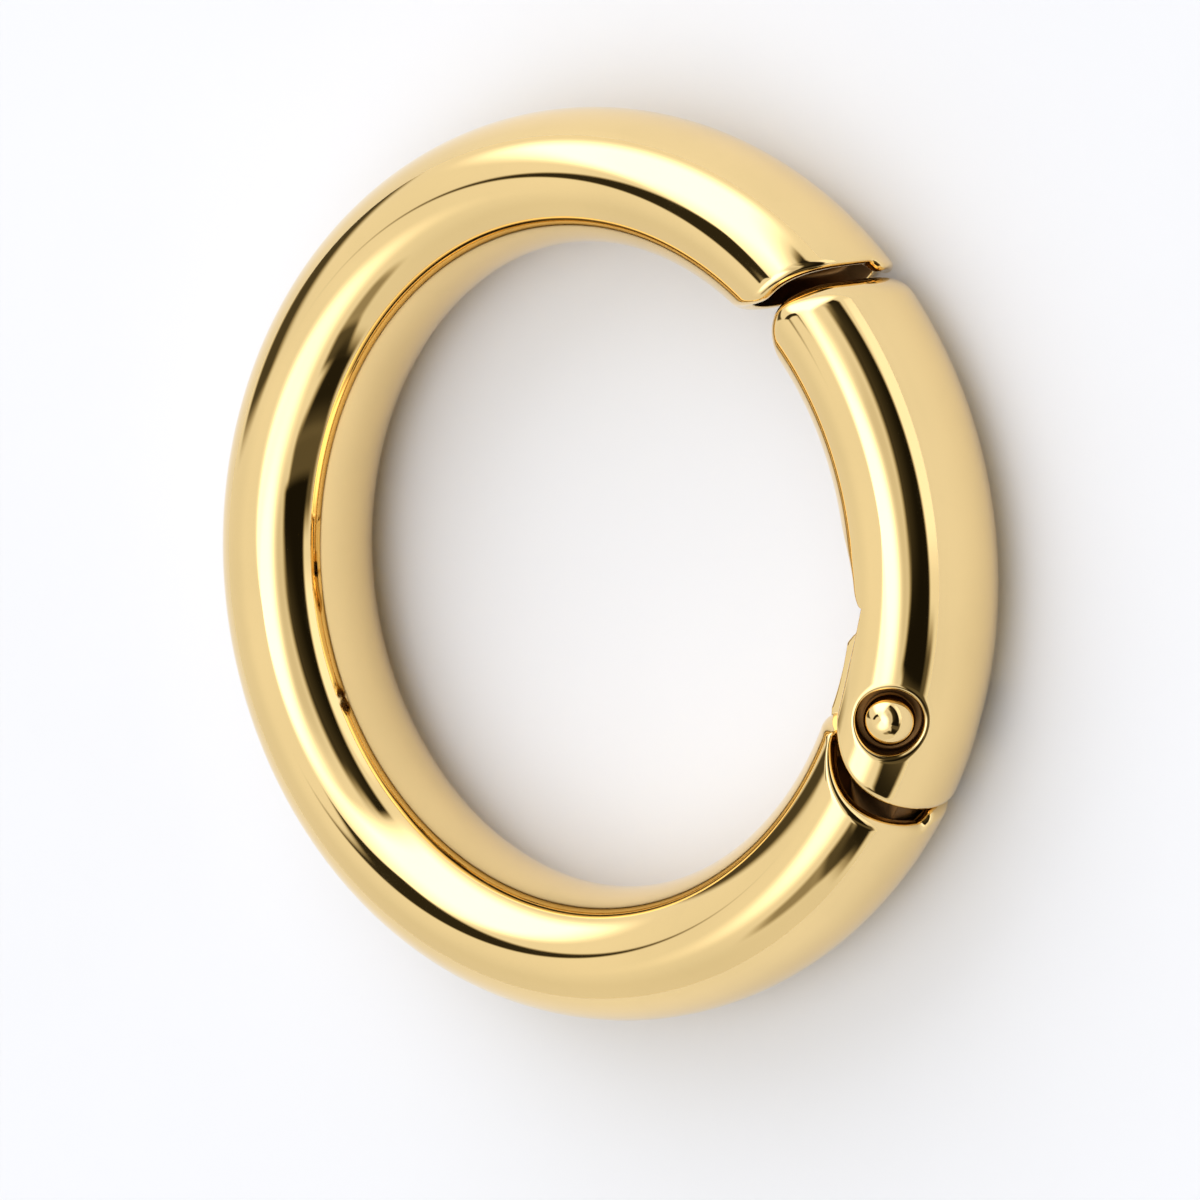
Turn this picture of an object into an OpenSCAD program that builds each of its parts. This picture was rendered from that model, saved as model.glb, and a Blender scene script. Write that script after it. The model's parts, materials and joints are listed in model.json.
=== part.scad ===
// Spring gate ring: a C-shaped oval tube closed by a hinged gate.
// Millimetres. The ring lies flat: its axis is Z, its lowest point is at z = 0, and X points to the gate.

/* [Ring] */
// Diameter of the clear opening
inner_d = 25; // [24:0.5:28]
// Width of the oval section across the ring
section_w = 5.2; // [5:0.1:5.6]
// Height of the oval section along the ring's axis
section_h = 6.86; // [6.6:0.02:7.2]
// Radius of the section's upper and lower arcs
crown_r = 2.15; // [2:0.05:2.3]

/* [Gate nose] */
// Angle round the ring of the centre of the nose's rounding
nose_a = 32.5; // [30:0.5:34]
// How far that centre lies outside the middle of the tube
nose_out = 0.25; // [0:0.05:0.4]
// Radius of the rounded nose, seen along the ring's axis
nose_r = 3.5; // [3.3:0.05:3.6]
// Gap between the nose and the body
nose_gap = 0.5; // [0.35:0.05:0.7]
// Shortening of the nose at its upper and lower crests, which the body's rim hooks round
crest_trim = 0.35; // [0.2:0.05:0.5]
// Height over which the nose runs back to its full reach from a crest
crest_run = 1.6; // [0.8:0.1:2]
// Clearance between the swinging nose and the body
swing_gap = 0.1; // [0.08:0.01:0.2]
// Gap between the nose and the outer lip of the body that stops the gate
stop_gap = 0.12; // [0.1:0.01:0.2]
// How far below the middle of the section the body's outer lips start, at both its ends
stop_low = 0.35; // [0:0.05:1]
// How far outside the middle of the tube they start
stop_out = 1.2; // [1:0.1:1.8]

/* [Hinge] */
// Angle round the ring of the hinge pin
pin_a = -17.6; // [-19:0.1:-17]
// How far the pin lies outside the middle of the tube
pin_out = 0.95; // [0.85:0.05:1]
// Diameter of the pin's shank
pin_d = 1.1; // [1:0.02:1.14]
// Diameter of the pin's upper ball head
head_d = 2.04; // [1.9:0.02:2.04]
// Diameter of its smaller lower ball head
foot_d = 1.5; // [1.4:0.02:1.56]
// Height of the centre of a ball head from the middle of the section
head_h = 2.4; // [2.36:0.01:2.4]
// Slope of the tube's surface at the pin, to which the recess round each head is square
head_tilt = 38; // [34:1:42]
// Diameter of the recess round the upper head
recess_d = 2.6; // [2.5:0.05:2.7]
// Diameter of the recess round the lower head
foot_recess_d = 2.06; // [1.9:0.02:2.2]
// Depth of the recess below the centre of the head
recess_below = 0.3; // [0.25:0.05:0.35]
// Radial clearance of the pin in the gate
pin_fit = 0.02; // [0.01:0.01:0.03]
// Radial clearance of the pin in the tongue that turns on it
pin_run = 0.05; // [0.03:0.01:0.08]
// How far the gate swings inward from shut
gate_swing = 35; // [30:1:35]

/* [Heel] */
// Radius of the gate's rounded heel
heel_r = 4.9; // [4.8:0.05:5]
// Angle round the ring of the centre of the heel's rounding
heel_a = -14.2; // [-14.5:0.1:-14]
// How far that centre lies outside the middle of the tube
heel_out = 3.67; // [3.6:0.01:3.75]
// Radius of the hollow in the body's lower end
seat_r = 3.8; // [3.75:0.05:3.85]
// Angle round the ring of the centre of that hollow
seat_a = -19.2; // [-19.4:0.1:-19]
// How far that centre lies outside the middle of the tube
seat_out = 2.8; // [2.75:0.05:2.85]
// How much nearer to the heel the outer lip of the body's lower end comes
seat_lip = 0.5; // [0.3:0.05:0.5]
// Angle round the ring at which the inner side of the body's lower end stops
lip_a = -22.4; // [-23:0.1:-22.2]
// Angle round the ring at which the gate's inner side is cut back for the hinge
notch_a = -3; // [-3.5:0.1:-2.5]
// How far the upper end of that flat lies inside the middle of the tube
flat_top_in = 0.5; // [0.45:0.05:0.6]
// How far its lower end lies inside the middle of the tube
flat_low_in = 0.85; // [0.8:0.05:0.9]
// How far past the pin, as an angle round the ring, that lower end is
flat_past = 4.8; // [4.5:0.1:5.2]

/* [Tongue and slot] */
// Thickness of the body's tongue
tongue_t = 2.2; // [2:0.1:2.2]
// Radius of the tongue about the pin
tongue_r = 4; // [3.9:0.05:4]
// Angle from the pin at which the tongue's root ends inside the body
tongue_root = 20.6; // [18:0.1:22]
// Side clearance of the tongue in the gate's slot
slot_gap = 0.1; // [0.08:0.01:0.12]
// Thickness of the gate's outer wall beside the slot
slot_wall = 0.6; // [0.55:0.05:0.6]
// Wall left round the hollow ends of the body
rim_wall = 0.6; // [0.5:0.05:0.7]
// Depth of the hollow ends of the body
rim_depth = 1.2; // [0.8:0.1:1.4]

/* [Spring] */
// Diameter of the spring's wire
wire_d = 0.2; // [0.18:0.01:0.22]
// Turns of the spring about the pin
spring_turns = 2.25; // [1.25:1:2.25]
// Length of the leg that rests on the gate
leg_l = 2.3; // [2:0.1:2.4]
// Direction of that leg while the gate is shut
leg_dir = 72; // [68:1:76]
// Depth of the pocket for the spring in the tongue's upper face
pocket_h = 0.9; // [0.8:0.05:0.9]
// Radius of that pocket
pocket_r = 1.02; // [1:0.01:1.1]

/* [Hidden] */
$fn = 96;
gold = [0.86, 0.71, 0.40];
steel = [0.62, 0.61, 0.58];

half_w = section_w / 2;
half_h = section_h / 2;
mid_r = inner_d / 2 + half_w;
// The section's side arcs meet its crown arcs without a corner.
side_r = (pow(half_h - crown_r, 2) + half_w * half_w - crown_r * crown_r) / (2 * (half_w - crown_r));
tangent_h = (half_h - crown_r) * side_r / (side_r - crown_r);
// Long enough to pass right through the tube
through = 2 * section_h;

function polar(radius, angle) = [radius * cos(angle), radius * sin(angle)];

// Heads and recesses at the pin's upper and lower ends
head_ds = [head_d, foot_d];
recess_ds = [recess_d, foot_recess_d];
pin_at = polar(mid_r + pin_out, pin_a);
nose_at = polar(mid_r + nose_out, nose_a);
heel_at = polar(mid_r + heel_out, heel_a);
seat_at = polar(mid_r + seat_out, seat_a);
// Longest reach of the nose from the pin, and its direction
nose_reach = norm(nose_at - pin_at) + nose_r;
nose_dir = atan2(nose_at[1] - pin_at[1], nose_at[0] - pin_at[0]);
// Angle about the pin that the nose's way inward is cleared for, more than the gate's swing
sweep_turn = 50;
slot_t = tongue_t + 2 * slot_gap;
slot_out_r = mid_r + half_w - slot_wall;
// Room between the tongue's rounding and the upper end of the slot, and beside the slot's outer wall
slot_end_gap = 1;
tongue_clear = 0.12;
slot_top_r = tongue_r + slot_end_gap;
tongue_out_r = slot_out_r - tongue_clear;
// Angle from the pin to where the tongue's root starts
root_start = 4;
// The flat that cuts back the gate's inner side runs from the notch to the heel.
flat_top = polar(mid_r - flat_top_in, notch_a);
flat_low = polar(mid_r - flat_low_in, pin_a - flat_past);
flat_way = (flat_low - flat_top) / norm(flat_low - flat_top);
// How far the cutter of the flat and the slot's open end run on past the heel
flat_extra = 3;
slot_open = 30;
// The heel's piece laps over the rest of the gate by this angle.
heel_lap = 2;
// The leg leaves the coil a quarter turn behind its own direction, where its fan-shaped pocket starts.
fan_spare = 5;
fan_a = leg_dir - 90 - fan_spare;
// Room beyond the leg's end, between the turns, round the pin and under the coil
leg_room = 0.6;
turn_gap = 0.04;
coil_gap = 0.12;
coil_lift = 0.08;
coil_pitch = wire_d + turn_gap;
coil_r = pin_d / 2 + coil_gap + wire_d / 2;
coil_z = half_h + tongue_t / 2 - pocket_h + wire_d / 2 + coil_lift;

// The section's outline: two side arcs joined by two crown arcs
module section_outline(inset = 0) {
    translate([mid_r, 0]) {
        for (up = [-1, 1])
            translate([0, up * (half_h - crown_r)])
                circle(r = crown_r - inset);
        intersection() {
            translate([half_w - side_r, 0])
                circle(r = side_r - inset);
            translate([side_r - half_w, 0])
                circle(r = side_r - inset);
            square([section_w, 2 * tangent_h * (1 - inset / side_r)], center = true);
        }
    }
}

module tube(inset = 0) {
    translate([0, 0, half_h])
        rotate_extrude()
            section_outline(inset);
}

// A round cutter standing along the ring's axis
module post(at, radius) {
    translate([at[0], at[1], half_h])
        cylinder(r = radius, h = through, center = true);
}

// Flat wedge of the ring between two angles
module wedge(from_a, to_a) {
    reach = 2 * mid_r;
    middle = (from_a + to_a) / 2;
    linear_extrude(height = through, center = true)
        polygon([[0, 0], polar(reach, from_a), polar(reach, middle), polar(reach, to_a)]);
}

// Space off the outer lips: all above them and all nearer to the ring's axis
module off_lips() {
    translate([0, 0, half_h - stop_low])
        cylinder(r = 2 * mid_r, h = section_h);
    translate([0, 0, half_h])
        cylinder(r = mid_r + stop_out, h = through, center = true);
}

// The part of the ring that the gate takes up, with the body's ends at a clearance
module gate_window() {
    post(nose_at, nose_r + stop_gap);
    post(seat_at, seat_r - seat_lip);
    intersection() {
        union() {
            post(nose_at, nose_r + nose_gap);
            post(seat_at, seat_r);
        }
        off_lips();
    }
    translate([0, 0, half_h])
        wedge(lip_a, nose_a);
}

// How far the nose reaches from the pin at each height: full in the middle, shorter at the crests
module nose_profile(grow = 0) {
    full = nose_reach + grow;
    short = full - crest_trim;
    low = half_h - crest_run;
    polygon([
        [0, -section_h], [short, -section_h], [short, -half_h], [full, -low],
        [full, low], [short, half_h], [short, section_h], [0, section_h]
    ]);
}

// The space that the nose sweeps on its way inward
module nose_sweep() {
    translate([pin_at[0], pin_at[1], half_h])
        rotate([0, 0, nose_dir])
            rotate_extrude(angle = sweep_turn)
                nose_profile(swing_gap);
}

// Hollow inside an open end of the body
module end_hollow(at, radius) {
    intersection() {
        tube(rim_wall);
        post(at, radius + rim_depth);
    }
}

// Outline of the tongue: a disc about the pin, flush with the opening, and kept off the slot's outer wall
// through the whole swing
module tongue_outline() {
    difference() {
        intersection() {
            translate(pin_at)
                circle(r = tongue_r);
            circle(r = tongue_out_r);
            translate(pin_at)
                rotate(gate_swing)
                    translate(-pin_at)
                        circle(r = tongue_out_r);
        }
        circle(d = inner_d);
    }
}

module tongue() {
    translate([0, 0, half_h])
        linear_extrude(height = tongue_t, center = true)
            tongue_outline();
    intersection() {
        tube();
        translate([0, 0, half_h])
            wedge(pin_a - tongue_root, pin_a - root_start);
        translate([0, 0, half_h])
            cylinder(r = tongue_out_r, h = tongue_t, center = true);
    }
}

module spring_pocket() {
    translate([pin_at[0], pin_at[1], half_h + tongue_t / 2 - pocket_h]) {
        cylinder(r = pocket_r, h = pocket_h + 1);
        rotate([0, 0, fan_a])
            rotate_extrude(angle = gate_swing + 90)
                square([leg_l + leg_room, pocket_h + 1]);
    }
}

module ring_body() {
    color(gold)
        difference() {
            union() {
                difference() {
                    tube();
                    gate_window();
                    nose_sweep();
                    end_hollow(nose_at, nose_r + nose_gap);
                    end_hollow(seat_at, seat_r);
                }
                tongue();
            }
            post(pin_at, pin_d / 2 + pin_run);
            spring_pocket();
        }
}

// The stretch of tube between the rounded nose and the rounded heel
module gate_outline() {
    post(nose_at, nose_r);
    intersection() {
        post(heel_at, heel_r);
        translate([0, 0, half_h])
            wedge(2 * seat_a, heel_a + heel_lap);
    }
    translate([0, 0, half_h])
        wedge(heel_a, nose_a);
}

// Flat cut on the inner side of the hinge end
module inner_cut() {
    translate([0, 0, half_h])
        linear_extrude(height = through, center = true)
            polygon([
                flat_top, flat_low + flat_extra * flat_way,
                polar(mid_r - section_w, pin_a - slot_open), polar(mid_r - section_w, notch_a)
            ]);
}

// Slot for the tongue, open on the inner side and at the heel
module tongue_slot() {
    translate([0, 0, half_h])
        linear_extrude(height = slot_t, center = true)
            intersection() {
                circle(r = slot_out_r);
                union() {
                    translate(pin_at)
                        circle(r = slot_top_r);
                    polygon([[0, 0], polar(2 * mid_r, pin_a - slot_open), polar(2 * mid_r, pin_a)]);
                }
            }
}

// Places its children at the pin's upper end, 0, or lower end, 1, with Z along the surface's normal there.
module at_head(end) {
    translate([pin_at[0], pin_at[1], half_h])
        mirror([0, 0, end])
            translate([0, 0, head_h])
                rotate([0, 0, pin_a])
                    rotate([0, head_tilt, 0])
                        children();
}

module gate() {
    color(gold)
        difference() {
            intersection() {
                tube();
                gate_outline();
                translate([pin_at[0], pin_at[1], half_h])
                    rotate_extrude()
                        nose_profile();
            }
            inner_cut();
            tongue_slot();
            post(pin_at, pin_d / 2 + pin_fit);
            for (end = [0, 1])
                at_head(end)
                    translate([0, 0, -recess_below])
                        cylinder(d = recess_ds[end], h = half_h);
        }
}

module hinge_pin() {
    // The shank ends inside the ball heads, above their flats.
    shank_l = 2 * head_h + head_d / 4;
    color(gold)
        union() {
            translate([pin_at[0], pin_at[1], half_h])
                cylinder(d = pin_d, h = shank_l, center = true);
            for (end = [0, 1])
                at_head(end)
                    intersection() {
                        sphere(d = head_ds[end]);
                        translate([0, 0, pin_fit - recess_below])
                            cylinder(d = 2 * head_d, h = head_d);
                    }
        }
}

// Centre line of the spring: turns about the pin, then a straight leg
coil_steps = 20;
coil_points = [
    for (i = [0 : spring_turns * coil_steps])
        let (a = leg_dir - 90 - 360 * spring_turns + 360 * i / coil_steps)
            [coil_r * cos(a), coil_r * sin(a), coil_pitch * i / coil_steps]
];
coil_end = coil_points[len(coil_points) - 1];
leg_points = [
    for (k = [1, 2])
        coil_end + k * leg_l / 2 * [cos(leg_dir), sin(leg_dir), 0]
];
spring_line = concat(coil_points, leg_points);

function unit(v) = v / norm(v);
function heading(line, i) = unit(line[min(i + 1, len(line) - 1)] - line[max(i - 1, 0)]);

// Round wire swept along a line, as rings of points joined by faces
module wire_along(line, d, sides = 8) {
    last = len(line) - 1;
    rings = [
        for (i = [0 : last])
            let (t = heading(line, i), across = unit(cross(t, [0, 0, 1])), up = cross(across, t))
                for (s = [0 : sides - 1])
                    line[i] + d / 2 * (cos(360 * s / sides) * across + sin(360 * s / sides) * up)
    ];
    walls = [
        for (i = [0 : last - 1], s = [0 : sides - 1])
            let (n = (s + 1) % sides)
                [i * sides + s, i * sides + n, (i + 1) * sides + n, (i + 1) * sides + s]
    ];
    near_cap = [for (s = [sides - 1 : -1 : 0]) s];
    far_cap = [for (s = [0 : sides - 1]) last * sides + s];
    polyhedron(points = rings, faces = concat(walls, [near_cap, far_cap]));
}

module torsion_spring() {
    color(steel)
        translate([pin_at[0], pin_at[1], coil_z])
            wire_along(spring_line, wire_d);
}

ring_body();
gate();
hinge_pin();
torsion_spring();
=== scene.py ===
"""Looks of a polished light gold spring gate ring, lying flat on a pale floor.

The ring's axis is Z, X points to the gate, and lengths are metres. The ring body and the gate are oval tubes
whose ends follow circles standing on the ring's plane, so one node tree shapes both of them.
"""

import json
import math

import bmesh
import bpy
import numpy as np
from mathutils import Matrix, Vector


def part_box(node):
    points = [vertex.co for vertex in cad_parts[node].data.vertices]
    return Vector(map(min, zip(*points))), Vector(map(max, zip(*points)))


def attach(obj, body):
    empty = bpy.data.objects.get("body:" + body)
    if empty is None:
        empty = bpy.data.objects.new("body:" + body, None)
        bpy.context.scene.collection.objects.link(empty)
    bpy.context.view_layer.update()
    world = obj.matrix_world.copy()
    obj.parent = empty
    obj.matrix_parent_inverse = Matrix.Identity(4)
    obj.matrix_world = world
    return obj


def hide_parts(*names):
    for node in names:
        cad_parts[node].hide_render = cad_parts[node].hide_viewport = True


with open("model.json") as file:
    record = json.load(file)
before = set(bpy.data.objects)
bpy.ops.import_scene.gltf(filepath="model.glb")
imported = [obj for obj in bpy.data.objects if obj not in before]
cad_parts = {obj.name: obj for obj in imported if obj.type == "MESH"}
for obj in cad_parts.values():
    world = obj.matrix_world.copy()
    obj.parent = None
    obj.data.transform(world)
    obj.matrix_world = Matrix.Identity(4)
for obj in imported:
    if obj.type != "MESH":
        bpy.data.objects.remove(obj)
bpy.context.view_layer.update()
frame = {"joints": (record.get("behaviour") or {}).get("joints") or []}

# Main sizes, from the frame where it gives them. The width of the tube's section is the photo's.
MM = 0.001
ring_low, ring_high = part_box("ring_body")
HALF_H = (ring_high.z - ring_low.z) / 2
OUTER_R = -ring_low.x
HALF_W = 2.6 * MM
MID_R = OUTER_R - HALF_W
PIN = Vector(frame["joints"][0]["pos_m"])
PIN_DIST = PIN.xy.length
PIN_ANGLE = math.atan2(PIN.y, PIN.x)

# Circles that shape the two ends of the gate and of the body
NOSE_DIST = MID_R + 0.25 * MM
NOSE_ANGLE = math.radians(32.5)
NOSE_R = 3.5 * MM
NOSE_GAP = 0.5 * MM
HEEL_DIST = MID_R + 3.67 * MM
HEEL_ANGLE = math.radians(-14.2)
HEEL_R = 4.9 * MM
SEAT_DIST = MID_R + 2.8 * MM
SEAT_ANGLE = math.radians(-19.2)
SEAT_R = 3.8 * MM
LIP_ANGLE = math.radians(-22.4)
NO_LIP = math.radians(90)

# Angles between which the rows of each tube stand square to it
BODY_SPAN = (math.radians(64), math.radians(322))
GATE_SPAN = (math.radians(-5.5), math.radians(28))

# Reach of the nose from the pin, which its upper and lower crests keep short of
NOSE_AT = NOSE_DIST * Vector((math.cos(NOSE_ANGLE), math.sin(NOSE_ANGLE)))
NOSE_REACH = (NOSE_AT - PIN.xy).length + NOSE_R
SWING_GAP = 0.1 * MM
CREST_TRIM = 0.35 * MM
CREST_RUN = 1.6 * MM
END_BLEND = 0.02

# Outer lips of the body's two ends, below the middle of its section, which come nearer to the gate
NOSE_LIP = 0.38 * MM
HEEL_LIP = 0.5 * MM
LIP_LOW = (0.1 * MM, 0.7 * MM)
LIP_OUT = (MID_R + 0.9 * MM, MID_R + 1.5 * MM)

# Rounding of the edges, and the wall and depth of the body's hollow ends
NOSE_FILLET = 0.8 * MM
HEEL_FILLET = 0.42 * MM
TOP_RIM_FILLET = 0.42 * MM
LOW_RIM_FILLET = 0.4 * MM
RIM_WALL = 0.55 * MM
RIM_EDGE = 0.06 * MM
CUP_DEPTH = 1.2 * MM
CUP_CORNER = 0.25 * MM

# Flat on the inner side of the gate's hinge end, between two points seen from above
FLAT_TOP = Vector((14.58, -0.764)) * MM
FLAT_LOW = Vector((13.175, -5.43)) * MM
FLAT_MIDDLE_R = 14.3 * MM
FLAT_CORNER = 0.3 * MM

# Rounded notch above the flat, and the taper above the notch: its radius where it starts, how far that falls
# with each radian, and how far it bends with the radian's square
NOTCH_ANGLE = math.radians(-2.4)
NOTCH_RUN = math.radians(2.8)
NOTCH_ROWS = 16
TAPER_R = 14.2 * MM
TAPER_FALL = 0.7 * MM
TAPER_BEND = 18.4 * MM
GATE_CORE = 0.9 * MM

# Recess and ball head at both ends of the pin. The window is the part of the gate that a recess replaces.
HEAD_H = 2.4 * MM
HEAD_R = 1.02 * MM
FOOT_R = 0.75 * MM
HEAD_TILT = math.radians(38)
RECESS_R = 1.3 * MM
FOOT_RECESS_R = 1.03 * MM
RECESS_BELOW = 0.3 * MM
RECESS_CORNER = 0.12 * MM
BEVEL_OUT = 0.3 * MM
BEVEL_DROP = 0.26 * MM
SHANK_R = 0.55 * MM
HEAD_LIFT = 0.02 * MM
HEAD_EDGE_H = 0.06 * MM
HEAD_EDGE_IN = 0.02 * MM
HEAD_FLAT_IN = 0.1 * MM
WINDOW_HALF = 2.15 * MM
WINDOW_TURN = math.radians(43)

# Tongue and slot. A reach is the farthest from the pin that an outline is looked for.
TONGUE_T = 2.2 * MM
TONGUE_R = 4 * MM
TONGUE_EDGE = 0.16 * MM
TONGUE_CLEAR = 0.12 * MM
# Radius from the ring's axis beyond which the tongue's faces take painted shade
TONGUE_PAINTED_SHADE_R = 13.6 * MM
TONGUE_BAND = 1.2 * MM
TONGUE_REACH = 7.5 * MM
ROOT_INSET = 0.14 * MM
ROOT_EASE = math.radians(2)
ROOT_ANGLE = math.radians(-36)
SLOT_GAP = 0.1 * MM
SLOT_WALL = 0.6 * MM
SLOT_TOP_R = 5 * MM
SLOT_OPEN = math.radians(30)
SLOT_REACH = 9 * MM
SWING = math.radians(35)
BORE_R = 0.6 * MM

# Spring in its pocket on the tongue
WIRE_R = 0.1 * MM
SPRING_TURNS = 2.25
COIL_R = 0.77 * MM
COIL_PITCH = 0.24 * MM
COIL_LIFT = 0.18 * MM
LEG_L = 2.3 * MM
LEG_ANGLE = math.radians(72)
LEG_ROOM = 0.6 * MM
POCKET_R = 1.02 * MM
POCKET_H = 0.9 * MM
POCKET_REACH = 4 * MM
FAN_START = math.radians(-23)
FAN_END = math.radians(102)

# Fineness of the meshes. The pocket's sides differ from the tongue's, so that no two edges coincide.
SIDES = 192
BODY_STEP = 0.22 * MM
BODY_BLEND_ROWS = (40, 36)
GATE_STEP = 0.11 * MM
GATE_WIDE_STEP = 1.3 * GATE_STEP
GATE_BLEND_ROWS = (54, 44)
ARC_STEPS = 10
SMALL_ARC_STEPS = 5
EDGE_STEPS = 4
CAP_ROWS = 12
CUP_ROWS = 10
CUP_WALL_ROWS = 6
RIM_ROWS = 2
COLLAR_RINGS = 9
COLLAR_CROWDING = 1.3
BEVEL_RINGS = 9
DROP_RINGS = 3
FLOOR_SHARES = (0.7, 0.45, 0.2)
SLAB_SIDES = 360
POCKET_SIDES = 347
ROD_SIDES = 64
HEAD_SIDES = 128
HEAD_STEP = math.radians(3)
WIRE_SIDES = 20
WELD = 0.0005 * MM


class Term:
    """A number that Math nodes work out, so that a rule reads like arithmetic."""

    def __init__(self, tree, socket):
        self.tree = tree
        self.socket = socket

    def use(self, operation, *others):
        """The result of a Math node on this term and others, or plain numbers."""
        node = self.tree.nodes.new("ShaderNodeMath")
        node.operation = operation
        for place, value in enumerate((self, *others)):
            if isinstance(value, Term):
                self.tree.links.new(value.socket, node.inputs[place])
            else:
                node.inputs[place].default_value = value
        return Term(self.tree, node.outputs[0])

    def __add__(self, other):
        return self.use("ADD", other)

    def __sub__(self, other):
        return self.use("SUBTRACT", other)

    def __mul__(self, other):
        return self.use("MULTIPLY", other)

    def __truediv__(self, other):
        return self.use("DIVIDE", other)

    def __neg__(self):
        return self * -1.0

    def __rsub__(self, other):
        return -self + other

    __radd__ = __add__
    __rmul__ = __mul__

    def ease(self, low, high):
        """Eases from 0 at low to 1 at high."""
        node = self.tree.nodes.new("ShaderNodeMapRange")
        node.interpolation_type = "SMOOTHSTEP"
        self.tree.links.new(self.socket, node.inputs["Value"])
        for name, value in (("From Min", low), ("From Max", high)):
            if isinstance(value, Term):
                self.tree.links.new(value.socket, node.inputs[name])
            else:
                node.inputs[name].default_value = value
        return Term(self.tree, node.outputs[0])


def joined(tree, parts):
    """A vector from three terms."""
    node = tree.nodes.new("ShaderNodeCombineXYZ")
    for place, part in enumerate(parts):
        tree.links.new(part.socket, node.inputs[place])
    return node.outputs[0]


def add_inputs(tree, names, kind="NodeSocketFloat"):
    """Gives a tree its named inputs."""
    for name in names:
        tree.interface.new_socket(name, in_out="INPUT", socket_type=kind)


def geometry_tree(name, numbers, counts, materials):
    """A Geometry Nodes tree with its named inputs and the node that brings them in."""
    tree = bpy.data.node_groups.new(name, "GeometryNodeTree")
    add_inputs(tree, ["Geometry"], "NodeSocketGeometry")
    add_inputs(tree, numbers)
    add_inputs(tree, counts, "NodeSocketInt")
    add_inputs(tree, materials, "NodeSocketMaterial")
    tree.interface.new_socket("Geometry", in_out="OUTPUT", socket_type="NodeSocketGeometry")
    return tree, tree.nodes.new("NodeGroupInput")


def set_inputs(modifier, values):
    """Gives a modifier's named inputs their values, by each socket's identifier."""
    identifiers = {item.name: item.identifier for item in modifier.node_group.interface.items_tree
                   if item.item_type == "SOCKET" and item.in_out == "INPUT"}
    for name, value in values.items():
        modifier[identifiers[name]] = value


def made_by(tree, name, base, values):
    """The plain mesh object that a node tree makes from a base mesh."""
    holder = bpy.data.objects.new(name + "_base", base)
    bpy.context.scene.collection.objects.link(holder)
    modifier = holder.modifiers.new(tree.name, "NODES")
    modifier.node_group = tree
    set_inputs(modifier, values)
    graph = bpy.context.evaluated_depsgraph_get()
    mesh = bpy.data.meshes.new_from_object(holder.evaluated_get(graph))
    holder.modifiers.remove(modifier)
    bpy.data.objects.remove(holder)
    mesh.name = name
    for key in (*ROW_NAMES, "turn"):
        if key in mesh.attributes:
            mesh.attributes.remove(mesh.attributes[key])
    piece = bpy.data.objects.new(name, mesh)
    bpy.context.scene.collection.objects.link(piece)
    return piece


# The oval tube

TUBE_INPUTS = (
    "Middle radius", "Half width", "Half height", "Core offset", "Flat corner", "End blend",
    "Nose distance", "Nose angle", "Nose radius", "Nose side", "Pin distance", "Pin angle", "Nose reach",
    "Crest trim", "Crest run", "Nose lip", "Heel distance", "Heel angle", "Heel radius", "Heel lip",
    "Lip angle",
)

# Values that each row of a sheet carries for the tree
ROW_NAMES = ("angle", "heel_bend", "nose_bend", "setback", "inset", "fill", "inner_limit", "cup")


def half_angle(radius, distance, circle):
    """Half of the angle round the ring that a circle covers at a radius, as a term."""
    cosine = (distance * distance + radius * radius - circle * circle) / (2.0 * distance * radius)
    return cosine.use("MINIMUM", 1.0).use("MAXIMUM", -1.0).use("ARCCOSINE")


def oval_tube_tree():
    """Bends a sheet of rows into an oval tube whose ends follow the circles of the nose and the heel."""
    tree, group = geometry_tree("oval_tube", TUBE_INPUTS, [], ["Material", "Cup material"])
    nodes, links = tree.nodes, tree.links
    size = {name: Term(tree, group.outputs[name]) for name in TUBE_INPUTS}

    def row(name):
        node = nodes.new("GeometryNodeInputNamedAttribute")
        node.data_type = "FLOAT"
        node.inputs["Name"].default_value = name
        return Term(tree, node.outputs["Attribute"])

    turn, inset, fill, setback = row("turn"), row("inset"), row("fill"), row("setback")
    middle, core = size["Middle radius"], size["Core offset"]
    full = middle + (size["Half width"] - inset) * turn.use("COSINE")
    kept = full.use("SMOOTH_MAX", row("inner_limit") + inset, size["Flat corner"])
    radius = middle + core + (kept - middle - core) * fill
    height = (size["Half height"] - inset) * turn.use("SINE") * fill

    at_lip = (-height).ease(*LIP_LOW) * radius.ease(*LIP_OUT)
    heel_half = half_angle(radius, size["Heel distance"], size["Heel radius"] - size["Heel lip"] * at_lip)
    heel = (size["Heel angle"] - heel_half).use("SMOOTH_MIN", size["Lip angle"], size["End blend"])
    nose_half = half_angle(radius, size["Nose distance"], size["Nose radius"] - size["Nose lip"] * at_lip)
    nose = size["Nose angle"] + nose_half
    crest = height.use("ABSOLUTE").ease(size["Half height"] - size["Crest run"], size["Half height"])
    reach = size["Nose reach"] - size["Crest trim"] * crest
    swept = size["Pin angle"] + half_angle(radius, size["Pin distance"], reach)
    side = size["Nose side"]
    nose = (nose * side).use("SMOOTH_MIN", swept * side, size["End blend"]) * side
    angle = row("angle") + row("heel_bend") * heel + row("nose_bend") * nose + setback / radius

    x, y, z = radius * angle.use("COSINE"), radius * angle.use("SINE"), height + size["Half height"]
    moved = nodes.new("GeometryNodeSetPosition")
    soft = nodes.new("GeometryNodeSetShadeSmooth")
    links.new(group.outputs["Geometry"], moved.inputs["Geometry"])
    links.new(joined(tree, (x, y, z)), moved.inputs["Position"])
    links.new(moved.outputs[0], soft.inputs["Geometry"])
    # The hollow ends' cups take the cup material, whose dark colour is painted shade.
    in_cup = row("cup").use("GREATER_THAN", 0.5)
    end_tree(tree, soft.outputs[0], (group.outputs["Material"], None),
             (group.outputs["Cup material"], in_cup))
    return tree


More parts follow.
